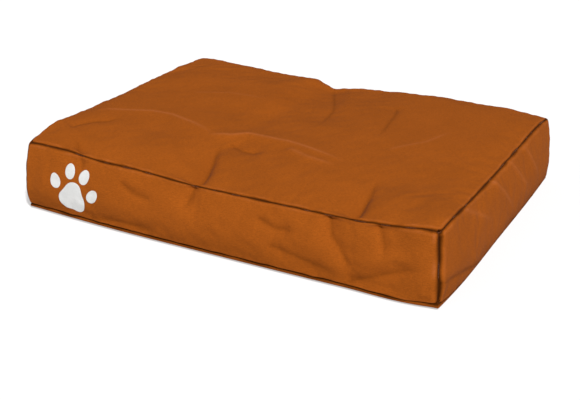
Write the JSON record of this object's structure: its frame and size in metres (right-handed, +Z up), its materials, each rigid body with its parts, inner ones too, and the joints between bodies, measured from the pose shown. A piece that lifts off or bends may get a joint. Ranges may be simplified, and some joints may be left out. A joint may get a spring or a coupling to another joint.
{
  "type": "pet cushion bed",
  "caption": "Box-shaped pet bed cushion: a fibre-filled inner pad in a coated woven cover that opens with a zip along its back, with a paw print on the front.",
  "frame": {"origin": "On the floor, under the middle of the cushion's bounding box.", "axes": "+X along the long side, to the right seen from the front; -Y towards the front that carries the paw print, so +Y towards the zipped back; +Z up."},
  "size_m": [1, 0.8002, 0.17],
  "materials": {
    "cover_top": "coated woven polyester, soft satin sheen",
    "cover_base": "coated woven polyester, soft satin sheen",
    "cover_front": "coated woven polyester, soft satin sheen",
    "cover_right": "coated woven polyester, soft satin sheen",
    "cover_left": "coated woven polyester, soft satin sheen",
    "cover_back_lower": "coated woven polyester, soft satin sheen",
    "cover_back_upper": "coated woven polyester, soft satin sheen",
    "zip_end_tab_left": "coated woven polyester, soft satin sheen",
    "zip_end_tab_right": "coated woven polyester, soft satin sheen",
    "top_seam_thread": "twisted polyester sewing thread, matt",
    "base_seam_thread": "twisted polyester sewing thread, matt",
    "corner_thread_front_left": "twisted polyester sewing thread, matt",
    "corner_thread_front_right": "twisted polyester sewing thread, matt",
    "corner_thread_back_left": "twisted polyester sewing thread, matt",
    "corner_thread_back_right": "twisted polyester sewing thread, matt",
    "zip_stitch_upper": "twisted polyester sewing thread, matt",
    "zip_stitch_lower": "twisted polyester sewing thread, matt",
    "liner_seam_thread": "twisted polyester sewing thread, matt",
    "zip_tape_upper": "woven polyester tape, matt",
    "zip_tape_lower": "woven polyester tape, matt",
    "zip_coil_upper": "nylon monofilament, slight shine",
    "zip_coil_lower": "nylon monofilament, slight shine",
    "zip_stop_closed": "satin plated metal",
    "zip_stop_open": "satin plated metal",
    "zip_slider": "satin plated metal",
    "zip_pull": "satin plated metal",
    "print_pad": "silver-white reflective transfer film, satin",
    "print_toe_1": "silver-white reflective transfer film, satin",
    "print_toe_2": "silver-white reflective transfer film, satin",
    "print_toe_3": "silver-white reflective transfer film, satin",
    "print_toe_4": "silver-white reflective transfer film, satin",
    "liner_top": "thin non-woven, matt",
    "liner_base": "thin non-woven, matt",
    "fibre_fill": "siliconised hollow polyester fibre, matt",
    "care_label": "blank woven satin label"
  },
  "bodies": {
    "cushion": {"cover_top": "cover_top", "cover_base": "cover_base", "cover_front": "cover_front", "cover_right": "cover_right", "cover_left": "cover_left", "cover_back_lower": "cover_back_lower", "cover_back_upper": "cover_back_upper", "zip_end_tab_left": "zip_end_tab_left", "zip_end_tab_right": "zip_end_tab_right", "top_seam_thread": "top_seam_thread", "base_seam_thread": "base_seam_thread", "corner_thread_front_left": "corner_thread_front_left", "corner_thread_front_right": "corner_thread_front_right", "corner_thread_back_left": "corner_thread_back_left", "corner_thread_back_right": "corner_thread_back_right", "zip_stitch_upper": "zip_stitch_upper", "zip_stitch_lower": "zip_stitch_lower", "liner_seam_thread": "liner_seam_thread", "zip_tape_upper": "zip_tape_upper", "zip_tape_lower": "zip_tape_lower", "zip_coil_upper": "zip_coil_upper", "zip_coil_lower": "zip_coil_lower", "zip_stop_closed": "zip_stop_closed", "zip_stop_open": "zip_stop_open", "print_pad": "print_pad", "print_toe_1": "print_toe_1", "print_toe_2": "print_toe_2", "print_toe_3": "print_toe_3", "print_toe_4": "print_toe_4", "liner_top": "liner_top", "liner_base": "liner_base", "fibre_fill": "fibre_fill", "care_label": "care_label"},
    "slider": {"zip_slider": "zip_slider"},
    "pull": {"zip_pull": "zip_pull"}
  },
  "joints": [
    {"name": "zip_slide", "type": "slide", "parent": "cushion", "child": "slider", "axis": [1, 0, 0], "range_m": [0, 0.8694]},
    {"name": "pull_swing", "type": "hinge", "parent": "slider", "child": "pull", "pos_m": [-0.4347, 0.3976, 0.08], "axis": [0, 0, 1], "range_deg": [0, 175]}
  ]
}
